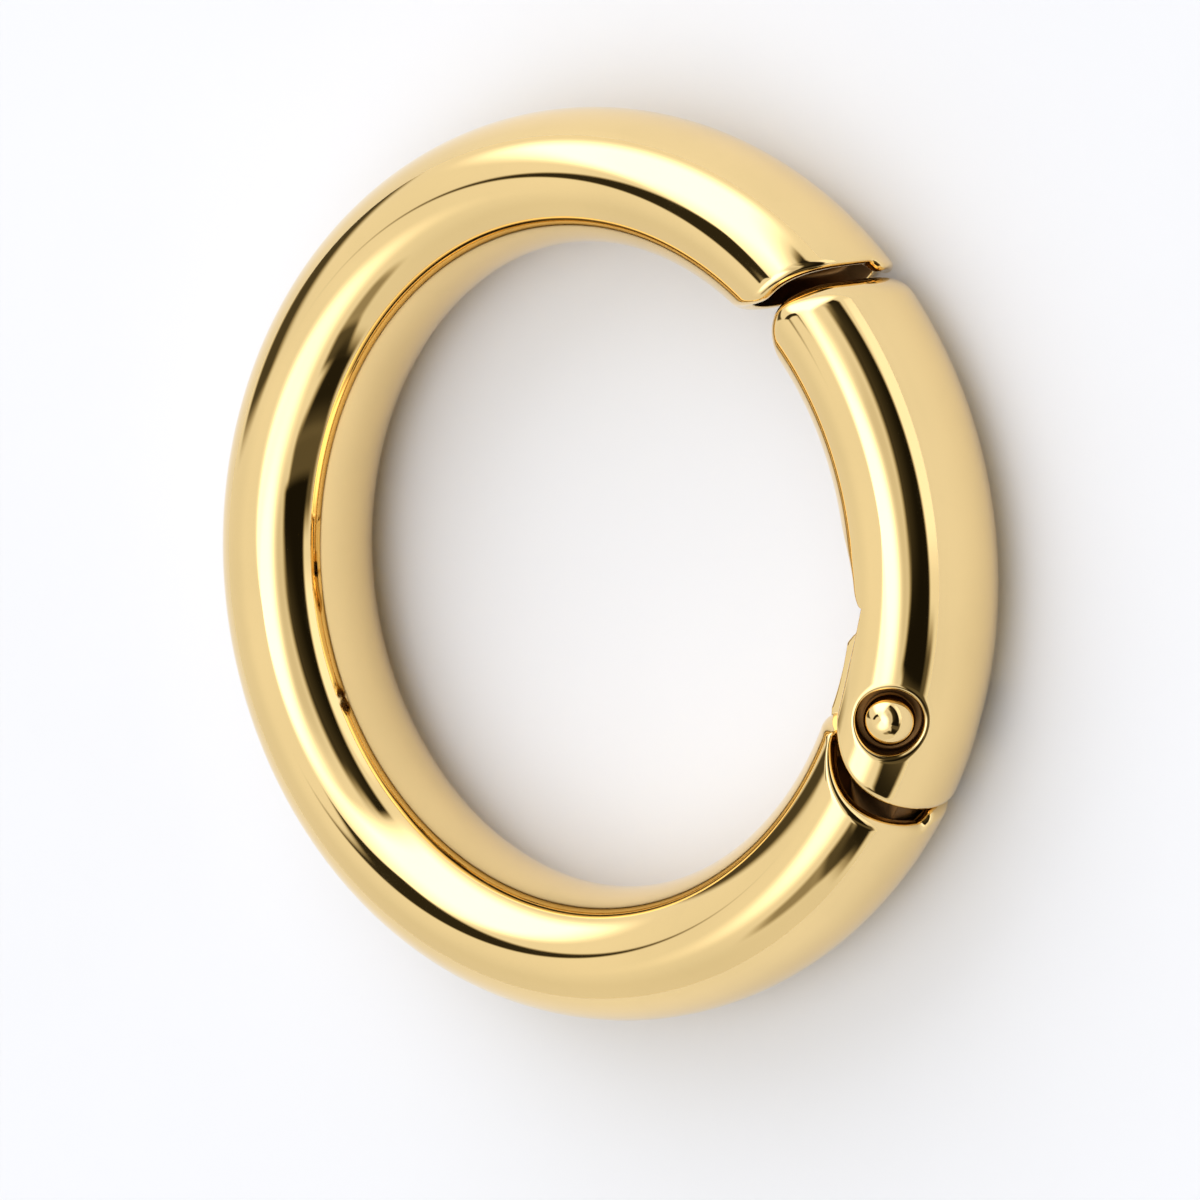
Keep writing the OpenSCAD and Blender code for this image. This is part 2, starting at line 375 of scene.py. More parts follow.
def end_tree(tree, geometry, *finishes):
    """Realizes what a tree has made and gives it its materials, each with the faces that it is for."""
    real = tree.nodes.new("GeometryNodeRealizeInstances")
    tree.links.new(geometry, real.inputs[0])
    last = real
    for material, chosen in finishes:
        dressed = tree.nodes.new("GeometryNodeSetMaterial")
        tree.links.new(last.outputs[0], dressed.inputs["Geometry"])
        tree.links.new(material, dressed.inputs["Material"])
        if chosen:
            tree.links.new(chosen.socket, dressed.inputs["Selection"])
        last = dressed
    out = tree.nodes.new("NodeGroupOutput")
    tree.links.new(last.outputs[0], out.inputs[0])


def corner_points(start, corner, end, steps=ARC_STEPS):
    """Points from start to end on a quarter round that touches both sides of a corner, without its start."""
    start, corner, end = Vector(start), Vector(corner), Vector(end)
    centre = start + end - corner
    turns = [math.pi / 2 * k / steps for k in range(1, steps + 1)]
    return [centre + (corner - end) * math.cos(a) + (corner - start) * math.sin(a) for a in turns]


def line_points(start, end, steps):
    """Points from start to end on a straight line, without its start."""
    start, end = Vector(start), Vector(end)
    return [start.lerp(end, k / steps) for k in range(1, steps + 1)]


def solid_end(fillet):
    """Fill, setback, inset and cup of the rows of a solid end, from its middle to the tube."""
    shares = [(k / CAP_ROWS, 0, fillet, 0) for k in range(CAP_ROWS)]
    edge = [Vector((0, fillet))] + corner_points((0, fillet), (0, 0), (fillet, 0))
    return shares + [(1, p.x, p.y, 0) for p in edge]


def hollow_end(fillet):
    """Fill, setback, inset and cup of the rows of a hollow end, from the middle of its floor to the tube."""
    deep, wall, edge, curve = CUP_DEPTH, RIM_WALL, RIM_EDGE, CUP_CORNER
    shares = [(k / CUP_ROWS, deep, wall + curve, 1) for k in range(CUP_ROWS)]
    inside = [Vector((deep, wall + curve))]
    inside += corner_points((deep, wall + curve), (deep, wall), (deep - curve, wall), SMALL_ARC_STEPS)
    inside += line_points((deep - curve, wall), (edge, wall), CUP_WALL_ROWS)
    rim = corner_points((edge, wall), (0, wall), (0, wall - edge), SMALL_ARC_STEPS)
    rim += line_points((0, wall - edge), (0, fillet), RIM_ROWS)
    rim += corner_points((0, fillet), (0, 0), (fillet, 0))
    return shares + [(1, p.x, p.y, 1) for p in inside] + [(1, p.x, p.y, 0) for p in rim]


def row_table(start, end, start_bend, end_bend, stations, blend_rows, whole_turn):
    """Rows of a tube from its start to its end. Each end's rows follow its circle, and the rows between
    ease from that curve to straight rows at the stations. A bend names the circle that an end follows."""
    def made(share, setback, inset, fill, bend, station, extra, cup=0):
        row = dict(angle=(1 - share) * station + share * extra, heel_bend=0.0, nose_bend=0.0,
                   setback=setback, inset=inset, fill=fill, inner_limit=0.0, cup=cup)
        row[bend] = share
        return row

    rows = [made(1, back, inset, fill, start_bend, 0, 0, cup) for fill, back, inset, cup in start]
    last = start[-1][1]
    for k in range(1, blend_rows[0]):
        share = 1 - k / blend_rows[0]
        rows.append(made(share, last * share, 0, 1, start_bend, stations[0], 0))
    rows += [made(0, 0, 0, 1, start_bend, station, 0) for station in stations]
    last = end[-1][1]
    for k in range(1, blend_rows[1]):
        share = k / blend_rows[1]
        rows.append(made(share, -last * share, 0, 1, end_bend, stations[-1], whole_turn))
    rows += [made(1, -back, inset, fill, end_bend, 0, whole_turn, cup)
             for fill, back, inset, cup in reversed(end)]
    return rows


def sheet(name, rows):
    """A closed sheet of rows round the tube, with each row's values as attributes for the tube's tree."""
    inner = len(rows) - 2
    turns = [2 * math.pi * j / SIDES for j in range(SIDES)]
    owner = [0] + [i for i in range(1, inner + 1) for _ in turns] + [inner + 1]
    spots = [(0, 0, 0)] + [(i, t, 0) for i in range(1, inner + 1) for t in turns] + [(inner + 1, 0, 0)]

    def at(i, j):
        return 1 + (i - 1) * SIDES + j % SIDES

    faces = [(0, at(1, j), at(1, j + 1)) for j in range(SIDES)]
    faces += [(at(i, j), at(i + 1, j), at(i + 1, j + 1), at(i, j + 1))
              for i in range(1, inner) for j in range(SIDES)]
    faces += [(at(inner, j), len(spots) - 1, at(inner, j + 1)) for j in range(SIDES)]
    mesh = bpy.data.meshes.new(name)
    mesh.from_pydata(spots, [], faces)
    mesh.attributes.new("turn", "FLOAT", "POINT").data.foreach_set("value", [s[1] for s in spots])
    for key in ROW_NAMES:
        mesh.attributes.new(key, "FLOAT", "POINT").data.foreach_set("value", [rows[i][key] for i in owner])
    return mesh


def circle_half(radius, distance, circle):
    """Half of the angle round the ring that a circle covers at a radius."""
    cosine = (distance ** 2 + radius ** 2 - circle ** 2) / (2 * distance * radius)
    return math.acos(min(max(cosine, -1), 1))


def spaced(low, high, step):
    """Evenly spaced numbers from low to high, with both ends."""
    count = max(1, round((high - low) / step))
    return [low + (high - low) * k / count for k in range(count + 1)]


SHARED_SIZES = {
    "Middle radius": MID_R, "Half width": HALF_W, "Half height": HALF_H, "Pin distance": PIN_DIST,
    "Pin angle": PIN_ANGLE, "Nose distance": NOSE_DIST, "Nose angle": NOSE_ANGLE, "Crest trim": CREST_TRIM,
    "Crest run": CREST_RUN, "Flat corner": FLAT_CORNER, "End blend": END_BLEND,
}


def plain_body(tree, gold, inside):
    """The ring body's tube, hollow at both open ends."""
    stations = spaced(*BODY_SPAN, BODY_STEP / MID_R)
    rows = row_table(hollow_end(TOP_RIM_FILLET), hollow_end(LOW_RIM_FILLET), "nose_bend", "heel_bend",
                     stations, BODY_BLEND_ROWS, 2 * math.pi)
    return made_by(tree, "ring_body_shell", sheet("ring_body_sheet", rows), {
        **SHARED_SIZES, "Nose radius": NOSE_R + NOSE_GAP, "Nose reach": NOSE_REACH + SWING_GAP,
        "Nose side": -1.0, "Nose lip": NOSE_LIP, "Heel distance": SEAT_DIST, "Heel angle": SEAT_ANGLE,
        "Heel radius": SEAT_R, "Heel lip": HEEL_LIP, "Lip angle": LIP_ANGLE, "Core offset": 0.0,
        "Material": gold, "Cup material": inside,
    })


def flat_limit(angle):
    """Least radius that the gate's section keeps at an angle: a flat, a rounded notch and a slight taper."""
    along = (FLAT_LOW - FLAT_TOP).normalized()
    normal = Vector((-along.y, along.x))
    flat = FLAT_TOP.dot(normal) / (math.cos(angle) * normal.x + math.sin(angle) * normal.y)
    share = min(max((angle - NOTCH_ANGLE) / NOTCH_RUN, 0), 1)
    free = math.sqrt(share * (2 - share))
    past = max(angle - NOTCH_ANGLE, 0)
    taper = TAPER_R - TAPER_FALL * past - TAPER_BEND * past ** 2
    return flat + (taper - flat) * free


def plain_gate(tree, gold, inside):
    """The gate's tube with its rounded nose and heel, and the flat on its inner side."""
    first, last = GATE_SPAN
    step = GATE_STEP / MID_R
    quarter = [math.pi / 2 * k / NOTCH_ROWS for k in range(NOTCH_ROWS + 1)]
    notch = [NOTCH_ANGLE + NOTCH_RUN * (1 - math.cos(a)) for a in quarter]
    stations = spaced(first, NOTCH_ANGLE - step / 8, step) + notch
    stations += spaced(notch[-1], last, GATE_WIDE_STEP / MID_R)[1:]
    rows = row_table(solid_end(HEEL_FILLET), solid_end(NOSE_FILLET), "heel_bend", "nose_bend",
                     stations, GATE_BLEND_ROWS, 0.0)
    heel_end = HEEL_ANGLE - circle_half(FLAT_MIDDLE_R, HEEL_DIST, HEEL_R)
    for row in rows:
        if row["nose_bend"] == 0:
            row["inner_limit"] = flat_limit(min(row["angle"] + row["heel_bend"] * heel_end, last))
    made = made_by(tree, "gate_shell", sheet("gate_sheet", rows), {
        **SHARED_SIZES, "Nose radius": NOSE_R, "Nose reach": NOSE_REACH, "Nose side": 1.0,
        "Nose lip": 0.0, "Heel distance": HEEL_DIST, "Heel angle": HEEL_ANGLE, "Heel radius": HEEL_R,
        "Heel lip": 0.0, "Lip angle": NO_LIP, "Core offset": GATE_CORE, "Material": gold,
        "Cup material": inside,
    })
    # The second material holds the recesses' painted shade.
    made.data.materials.clear()
    made.data.materials.append(gold)
    made.data.materials.append(inside)
    return made


# The pin's recess and heads

def head_frame(side):
    """Frame at the centre of a ball head, square to the tube's surface. Side is 1 above and -1 below."""
    tilt = Matrix.Rotation(PIN_ANGLE, 4, "Z") @ Matrix.Rotation(HEAD_TILT, 4, "Y")
    upper = Matrix.Translation((PIN.x, PIN.y, HEAD_H)) @ tilt
    return Matrix.Translation((0, 0, HALF_H)) @ Matrix.Diagonal((1, 1, side, 1)) @ upper


def tube_excess(point):
    """Negative inside the oval tube and positive outside it."""
    across = math.hypot(point.x, point.y) - MID_R
    return (across / HALF_W) ** 2 + ((point.z - HALF_H) / HALF_H) ** 2 - 1


def on_tube(place, x, y):
    """Height in a head's frame at which the point x, y lies on the tube's surface. Each pass gets closer."""
    height, nudge, passes = 0.5 * MM, 0.001 * MM, 12
    for _ in range(passes):
        here = tube_excess(place @ Vector((x, y, height)))
        slope = (tube_excess(place @ Vector((x, y, height + nudge))) - here) / nudge
        height -= here / slope
    return height


def onto_tube(point):
    """The point of the tube's surface that lies nearly square below or above a point."""
    passes = 6
    for _ in range(passes):
        across = point.xy.length - MID_R
        out = point.xy.normalized() * (2 * across / HALF_W ** 2)
        slope = Vector((out.x, out.y, 2 * (point.z - HALF_H) / HALF_H ** 2))
        point = point - slope * (tube_excess(point) / slope.length_squared)
    return point


def bridge(bm, ring, other, finish=0):
    """Joins two closed rings of as many vertices with faces. Finish is a place in the mesh's materials."""
    for k in range(len(ring)):
        n = (k + 1) % len(ring)
        bm.faces.new((ring[k], ring[n], other[n], other[k])).material_index = finish


def close(bm, ring, middle, finish=0):
    """Closes a ring of vertices with triangles to a vertex in its middle."""
    for k in range(len(ring)):
        bm.faces.new((ring[k], ring[(k + 1) % len(ring)], middle)).material_index = finish


def smooth_outward(bm):
    """Turns a closed bmesh's faces outwards and makes them smooth."""
    bmesh.ops.recalc_face_normals(bm, faces=bm.faces)
    for face in bm.faces:
        face.smooth = True


def recess_rings(place, rim, wide):
    """Rings of points from the tube's surface down a recess of a given width, for a rim in the head's frame:
    the collar on the surface, the bevel, the drop to the floor and the floor."""
    angles = [math.atan2(p.y, p.x) for p in rim]
    ways = [Vector((math.cos(a), math.sin(a))) for a in angles]
    bevel = wide + BEVEL_OUT
    edge = [on_tube(place, *(way * bevel)) for way in ways]
    corner = [on_tube(place, *(way * wide)) for way in ways]
    collar = [Vector((*(way * bevel), high)) for way, high in zip(ways, edge)]
    around = []
    for k in range(COLLAR_RINGS, 0, -1):
        share = (k / (COLLAR_RINGS + 1)) ** COLLAR_CROWDING
        around.append([onto_tube(place @ a.lerp(b, share)) for a, b in zip(collar, rim)])
    rings = []
    for k in range(BEVEL_RINGS):
        t = k / (BEVEL_RINGS - 1)
        ring = []
        for way, high, low in zip(ways, edge, corner):
            a, b, c = Vector((bevel, high)), Vector((wide, low)), Vector((wide, low - BEVEL_DROP))
            p = a * (1 - t) ** 2 + b * 2 * t * (1 - t) + c * t * t
            ring.append(Vector((*(way * p.x), p.y)))
        rings.append(ring)
    base, curve = -RECESS_BELOW, RECESS_CORNER
    for k in range(1, DROP_RINGS + 1):
        ring = []
        for way, low in zip(ways, corner):
            drop = base + curve - low + BEVEL_DROP
            ring.append(Vector((*(way * wide), low - BEVEL_DROP + drop * k / DROP_RINGS)))
        rings.append(ring)
    round_low = corner_points((wide, base + curve), (wide, base), (wide - curve, base), SMALL_ARC_STEPS)
    for p in round_low + [Vector((wide * share, base)) for share in FLOOR_SHARES]:
        rings.append([Vector((*(way * p.x), p.y)) for way in ways])
    return around + [[place @ p for p in ring] for ring in rings]


def sink_recess(bm, grid, place, wide):
    """Cuts a window round a pin head out of the gate's grid and fills it with a bevelled recess."""
    back = place.inverted()
    surface = place @ Vector((0, 0, on_tube(place, 0, 0)))
    turn = math.atan2((surface.z - HALF_H) / HALF_H, (surface.xy.length - MID_R) / HALF_W)
    count = (len(grid) - 2) // SIDES

    def at(i, j):
        return grid[1 + i * SIDES + j % SIDES]

    middle = round(turn / (2 * math.pi) * SIDES)
    half = round(WINDOW_TURN / (2 * math.pi) * SIDES)
    reach = [(at(i, middle).co.xy - surface.xy).length for i in range(count)]
    inside = [i for i in range(len(solid_end(HEEL_FILLET)) + 1, count) if reach[i] < WINDOW_HALF]
    first, last, left, right = inside[0], inside[-1], middle - half, middle + half
    rim = [at(first, j) for j in range(left, right)] + [at(i, right) for i in range(first, last)]
    rim += [at(last, j) for j in range(right, left, -1)] + [at(i, left) for i in range(last, first, -1)]
    gone = [at(i, j) for i in range(first + 1, last) for j in range(left + 1, right)]
    rings = recess_rings(place, [back @ v.co for v in rim], wide)
    bmesh.ops.delete(bm, geom=gone, context="VERTS")
    # The recess's drop and floor take the dark material: painted shade inside the recess.
    before = rim
    for depth, ring in enumerate(rings):
        fresh = [bm.verts.new(p) for p in ring]
        bridge(bm, before, fresh, int(depth >= COLLAR_RINGS + BEVEL_RINGS))
        before = fresh
    close(bm, before, bm.verts.new(place @ Vector((0, 0, -RECESS_BELOW))), 1)


def sink_recesses(piece):
    """Sinks a recess for both heads of the pin into the gate's plain tube."""
    bm = bmesh.new()
    bm.from_mesh(piece.data)
    grid = list(bm.verts)
    for side, wide in ((1, RECESS_R), (-1, FOOT_RECESS_R)):
        sink_recess(bm, grid, head_frame(side), wide)
    smooth_outward(bm)
    bm.to_mesh(piece.data)
    bm.free()


def revolved(bm, profile, place, sides):
    """Turns a profile of (radius, height) points round a place's Z axis, where it starts and ends."""
    ends = [bm.verts.new(place @ Vector((0, 0, profile[k][1]))) for k in (0, -1)]
    rings = [[bm.verts.new(place @ Vector((r * math.cos(a), r * math.sin(a), h)))
              for a in (2 * math.pi * k / sides for k in range(sides))] for r, h in profile[1:-1]]
    for ring, other in zip(rings, rings[1:]):
        bridge(bm, ring, other)
    close(bm, rings[0], ends[0])
    close(bm, rings[-1], ends[1])


def mesh_object(name, bm, material):
    """A smooth object with outward faces from a closed bmesh."""
    smooth_outward(bm)
    mesh = bpy.data.meshes.new(name)
    bm.to_mesh(mesh)
    bm.free()
    mesh.materials.append(material)
    piece = bpy.data.objects.new(name, mesh)
    bpy.context.scene.collection.objects.link(piece)
    return piece


def combine(piece, other, operation):
    """Joins or cuts a piece with another closed mesh, which is then removed, and welds points that all but
    coincide."""
    modifier = piece.modifiers.new("combine", "BOOLEAN")
    modifier.operation = operation
    modifier.solver = "EXACT"
    modifier.material_mode = "TRANSFER"
    modifier.object = other
    graph = bpy.context.evaluated_depsgraph_get()
    mesh = bpy.data.meshes.new_from_object(piece.evaluated_get(graph))
    piece.modifiers.remove(modifier)
    bm = bmesh.new()
    bm.from_mesh(mesh)
    bmesh.ops.remove_doubles(bm, verts=bm.verts, dist=WELD)
    bmesh.ops.dissolve_degenerate(bm, edges=bm.edges, dist=WELD)
    bm.to_mesh(mesh)
    bm.free()
    old = piece.data
    piece.data = mesh
    bpy.data.meshes.remove(old)
    bpy.data.objects.remove(other)


def outline_distance(inside, angle, reach):
    """Distance from the pin, in a direction, as far as inside() holds. Each pass looks closer."""
    passes, first_looks, closer_looks = 3, 300, 60
    away = np.linspace(0, reach, first_looks)
    for _ in range(passes):
        out = np.nonzero(~inside(PIN.x + away * math.cos(angle), PIN.y + away * math.sin(angle), away))[0]
        if not len(out):
            return reach
        away = np.linspace(away[out[0] - 1], away[out[0]], closer_looks)
    return away[0]


def slab_levels(low, high, edge):
    """Heights of a slab's rings, each with how far it is set in, for a flat band and a rounded edge at
    both faces."""
    if edge == 0:
        return [(low, 0), (high, 0)]
    levels = [(low, edge + TONGUE_BAND), (low, edge)]
    for k in range(1, EDGE_STEPS):
        turn = math.pi / 2 * k / EDGE_STEPS
        levels.append((low + edge * (1 - math.cos(turn)), edge * (1 - math.sin(turn))))
    levels.append((low + edge, 0))
    return levels + [(low + high - z, inset) for z, inset in reversed(levels)]


def slab_about_pin(name, inside, reach, low, high, edge, material, sides=SLAB_SIDES):
    """A closed slab between two heights, whose outline is as far as inside() holds, seen from the pin."""
    turns = [2 * math.pi * k / sides for k in range(sides)]
    radii = [outline_distance(inside, turn, reach) for turn in turns]
    ways = [Vector((math.cos(turn), math.sin(turn), 0)) for turn in turns]
    bm = bmesh.new()
    rings = []
    for z, inset in slab_levels(low, high, edge):
        middle = Vector((PIN.x, PIN.y, z))
        rings.append([bm.verts.new(middle + way * max(r - inset, r / 2)) for way, r in zip(ways, radii)])
    for ring, other in zip(rings, rings[1:]):
        bridge(bm, ring, other)
    for ring, z in ((rings[0], low), (rings[-1], high)):
        close(bm, ring, bm.verts.new((PIN.x, PIN.y, z)))
    return mesh_object(name, bm, material)


def rod(name, radius, low, high, material):
    """A round rod about the pin's axis, for the pin's shank and for its bore."""
    bm = bmesh.new()
    place = Matrix.Translation((PIN.x, PIN.y, 0))
    revolved(bm, [(0, low), (radius, low), (radius, high), (0, high)], place, ROD_SIDES)
    return mesh_object(name, bm, material)


def in_tongue(x, y, away):
    """Whether points are in the tongue: a disc about the pin and its root inside the body."""
    limit = MID_R + HALF_W - SLOT_WALL - TONGUE_CLEAR
    radius, angle = np.hypot(x, y), np.arctan2(y, x)
    turned = np.hypot(*turn_back(x, y))
    disc = (away < TONGUE_R) & (turned < limit)
    root = (angle < LIP_ANGLE) & (angle > ROOT_ANGLE)
    inner = MID_R - HALF_W + ROOT_INSET * np.clip((LIP_ANGLE - angle) / ROOT_EASE, 0, 1)
    return (radius < limit) & (disc | root) & (radius > inner)


def turn_back(x, y):
    """Points turned about the pin against the gate's swing."""
    c, s = math.cos(-SWING), math.sin(-SWING)
    dx, dy = x - PIN.x, y - PIN.y
    return PIN.x + c * dx - s * dy, PIN.y + s * dx + c * dy


def in_slot(x, y, away):
    """Whether points are in the gate's slot, which is open on the inner side and at the heel."""
    angle = np.arctan2(y, x)
    open_end = (angle < PIN_ANGLE) & (angle > PIN_ANGLE - SLOT_OPEN)
    return (np.hypot(x, y) < MID_R + HALF_W - SLOT_WALL) & ((away < SLOT_TOP_R) | open_end)


def in_pocket(x, y, away):
    """Whether points are in the spring's pocket: a disc about the pin and a fan for the leg."""
    way = np.arctan2(y - PIN.y, x - PIN.x)
    return (away < POCKET_R) | ((away < LEG_L + LEG_ROOM) & (way > FAN_START) & (way < FAN_END))


def ring_body(tree, gold, inside):
    """The C-shaped body with the hinge tongue in its lower end."""
    body = plain_body(tree, gold, inside)
    low, high = HALF_H - TONGUE_T / 2, HALF_H + TONGUE_T / 2
    tongue = slab_about_pin("tongue", in_tongue, TONGUE_REACH, low, high, TONGUE_EDGE, gold)
    # The tongue's flat middles and its faces farther out than that radius take the dark material: painted
    # shade inside the body's cup.
    tongue.data.materials.append(inside)
    for face in tongue.data.polygons:
        face.material_index = int(face.center.xy.length > TONGUE_PAINTED_SHADE_R or len(face.vertices) == 3)
    combine(body, tongue, "UNION")
    # The pocket and the bore are cut with the dark material, so their walls are painted shade.
    pocket = slab_about_pin("spring_pocket", in_pocket, POCKET_REACH, high - POCKET_H, high + MM, 0, inside,
                            POCKET_SIDES)
    combine(body, pocket, "DIFFERENCE")
    combine(body, rod("tongue_bore", BORE_R, 0, 2 * HALF_H, inside), "DIFFERENCE")
    body.name = "ring_body_shell"
    return body


def gate(tree, gold, inside):
    """The gate with its recesses and the slot for the tongue."""
    made = plain_gate(tree, gold, inside)
    sink_recesses(made)
    half = TONGUE_T / 2 + SLOT_GAP
    # The slot is cut with the dark material, so its walls are painted shade.
    slot = slab_about_pin("slot", in_slot, SLOT_REACH, HALF_H - half, HALF_H + half, 0, inside)
    combine(made, slot, "DIFFERENCE")
    return made


def hinge_pin(material):
    """The rivet: a shank with a ball head at both ends, flattened where it sits in its recess."""
    base = HEAD_LIFT - RECESS_BELOW
    heads = []
    for side, size in ((1, HEAD_R), (-1, FOOT_R)):
        last = math.acos((base + HEAD_EDGE_H) / size)
        ball = [(size * math.sin(a), size * math.cos(a)) for a in spaced(0, last, HEAD_STEP)]
        edge = ball[-1][0]
        under = corner_points(ball[-1], (edge - HEAD_EDGE_IN, base), (edge - HEAD_FLAT_IN, base), EDGE_STEPS)
        bm = bmesh.new()
        revolved(bm, ball + [tuple(p) for p in under] + [(0, base)], head_frame(side), HEAD_SIDES)
        heads.append(mesh_object("head", bm, material))
    shank = HEAD_H + HEAD_R / 4
    pin = rod("hinge_pin_rivet", SHANK_R, HALF_H - shank, HALF_H + shank, material)
    for head in heads:
        combine(pin, head, "UNION")
    return pin


# The spring

SPRING_INPUTS = ("Pin X", "Pin Y", "Base height", "Coil radius", "Turns", "Steps per turn", "Pitch",
                 "Leg step", "Leg angle", "Wire radius")


def spring_tree():
    """Turns a line of points into a coil about the pin with a straight leg, and sweeps wire along it."""
    tree, group = geometry_tree("spring_wire", SPRING_INPUTS, ["Points"], ["Material"])
    nodes, links = tree.nodes, tree.links
    pin_x, pin_y, base, coil, turns, per_turn, pitch, leg_step, leg_angle, wire = (
        Term(tree, group.outputs[name]) for name in SPRING_INPUTS)
    line = nodes.new("GeometryNodeMeshLine")
    links.new(group.outputs["Points"], line.inputs["Count"])
    count = Term(tree, nodes.new("GeometryNodeInputIndex").outputs[0])
    wound = count.use("MINIMUM", turns * per_turn) / per_turn
    along = (count - turns * per_turn).use("MAXIMUM", 0.0) * leg_step
    turn = leg_angle - math.pi / 2 + (wound - turns) * (2 * math.pi)
    x = pin_x + coil * turn.use("COSINE") + along * leg_angle.use("COSINE")
    y = pin_y + coil * turn.use("SINE") + along * leg_angle.use("SINE")
    moved = nodes.new("GeometryNodeSetPosition")
    route = nodes.new("GeometryNodeMeshToCurve")
    section = nodes.new("GeometryNodeCurvePrimitiveCircle")
    section.inputs["Resolution"].default_value = WIRE_SIDES
    swept = nodes.new("GeometryNodeCurveToMesh")
    swept.inputs["Fill Caps"].default_value = True
    links.new(line.outputs[0], moved.inputs["Geometry"])
    links.new(joined(tree, (x, y, base + pitch * wound)), moved.inputs["Position"])
    links.new(moved.outputs[0], route.inputs[0])
    links.new(wire.socket, section.inputs["Radius"])
    links.new(route.outputs[0], swept.inputs["Curve"])
    links.new(section.outputs[0], swept.inputs["Profile Curve"])
    end_tree(tree, swept.outputs[0], (group.outputs["Material"], None))
    return tree


def torsion_spring(material):
    """The wire spring about the pin, whose leg rests on the gate."""
    per_turn, leg_steps = 64, 12
    return made_by(spring_tree(), "torsion_spring_wire", bpy.data.meshes.new("spring_base"), {
        "Pin X": PIN.x, "Pin Y": PIN.y, "Base height": HALF_H + TONGUE_T / 2 - POCKET_H + COIL_LIFT,
        "Coil radius": COIL_R, "Turns": SPRING_TURNS, "Steps per turn": float(per_turn), "Pitch": COIL_PITCH,
        "Leg step": LEG_L / leg_steps, "Leg angle": LEG_ANGLE, "Wire radius": WIRE_R,
        "Points": int(SPRING_TURNS * per_turn) + 1 + leg_steps, "Material": material,
    })


# Materials

def object_point(tree):
    """Object coordinates of a surface in millimetres, as terms."""
    where = tree.nodes.new("ShaderNodeTexCoord")
    split = tree.nodes.new("ShaderNodeSeparateXYZ")
    tree.links.new(where.outputs["Object"], split.inputs[0])
    return [Term(tree, split.outputs[k]) * (1 / MM) for k in range(3)]


def noise(tree, vector, scale, detail=2.0, roughness=0.5):
    """Soft noise from 0 to 1 at a vector in millimetres, as a term."""
    node = tree.nodes.new("ShaderNodeTexNoise")
    tree.links.new(vector, node.inputs["Vector"])
    node.inputs["Scale"].default_value = scale
    node.inputs["Detail"].default_value = detail
    node.inputs["Roughness"].default_value = roughness
    return Term(tree, node.outputs["Fac"])


def metal_wear_group():
    """Shader group for worked metal: fine lines along the ring, soft smears and grain."""
    tree = bpy.data.node_groups.new("metal_wear", "ShaderNodeTree")
    add_inputs(tree, ("Gloss floor", "Smears", "Lines", "Grain"))
    for name in ("Roughness", "Height", "Tone"):
        tree.interface.new_socket(name, in_out="OUTPUT", socket_type="NodeSocketFloat")
    given = tree.nodes.new("NodeGroupInput")
    out = tree.nodes.new("NodeGroupOutput")
    floor_rough, smears, lines, grain = (Term(tree, given.outputs[k]) for k in range(4))
    x, y, z = object_point(tree)
    radius = (x * x + y * y).use("SQRT")
    along = y.use("ARCTAN2", x) * (MID_R / MM)
    plain = joined(tree, (x, y, z))
    stretch, fineness = 0.05, 5.0
    drawn = joined(tree, (along * stretch, radius * fineness, z * fineness))
    fine = noise(tree, drawn, 2.4, 1.0, 0.6)
    broad = noise(tree, plain, 0.22, 0.0)
    smear = noise(tree, plain, 0.55, 3.0, 0.65).ease(0.45, 0.75)
    grains = noise(tree, plain, 9.0, 1.0, 0.7)
    rough = floor_rough + smear * smears + (fine - 0.5).use("ABSOLUTE") * lines + grains * grain * 0.5
    height = broad * 0.6 + fine * lines * 0.35 + grains * grain
    tone = (broad - 0.5) * 0.10 - smear * smears * 0.6 - grains * grain * 0.25 + 1.0
    for place, value in enumerate((rough, height, tone)):
        tree.links.new(value.socket, out.inputs[place])
    return tree


def metal(name, wear, colour, values, bump):
    """A metal with its own colour and its own amounts of the shared wear."""
    material = bpy.data.materials.new(name)
    material.use_nodes = True
    tree = material.node_tree
    shader = tree.nodes["Principled BSDF"]
    shader.inputs["Metallic"].default_value = 1
    worn = tree.nodes.new("ShaderNodeGroup")
    worn.node_tree = wear
    for key, value in values.items():
        worn.inputs[key].default_value = value
    toned = tree.nodes.new("ShaderNodeMix")
    toned.data_type = "RGBA"
    toned.blend_type = "MULTIPLY"
    toned.inputs["Factor"].default_value = 1
    plain, tint, result = toned.inputs[6], toned.inputs[7], toned.outputs[2]
    plain.default_value = (*colour, 1)
    raised = tree.nodes.new("ShaderNodeBump")
    raised.inputs["Strength"].default_value = 1
    raised.inputs["Distance"].default_value = bump
    for start, end in ((worn.outputs["Tone"], tint), (result, shader.inputs["Base Color"]),
                       (worn.outputs["Roughness"], shader.inputs["Roughness"]),
                       (worn.outputs["Height"], raised.inputs["Height"]),
                       (raised.outputs[0], shader.inputs["Normal"])):
        tree.links.new(start, end)
    return material


def metals():
    """Polished plating outside, rough plating in the hollows darkened into painted shade, and spring wire.
    """
    wear = metal_wear_group()
    gold = metal("polished_light_gold", wear, (0.87, 0.645, 0.30),
                 {"Gloss floor": 0.035, "Smears": 0.025, "Lines": 0.05, "Grain": 0.0}, 0.0008 * MM)
    # Painted shade: the hollows' plating is rough, and its colour is darkened far below gold to stand in for
    # the shade in the cups, recesses, slot, pocket and bore.
    inside = metal("hollow_gold_painted_shade", wear, (0.17, 0.09, 0.032),
                   {"Gloss floor": 0.34, "Smears": 0.12, "Lines": 0.1, "Grain": 0.25}, 0.01 * MM)
    wire = metal("drawn_spring_wire", wear, (0.60, 0.59, 0.56),
                 {"Gloss floor": 0.18, "Smears": 0.08, "Lines": 0.3, "Grain": 0.05}, 0.002 * MM)
    return gold, inside, wire


# Studio

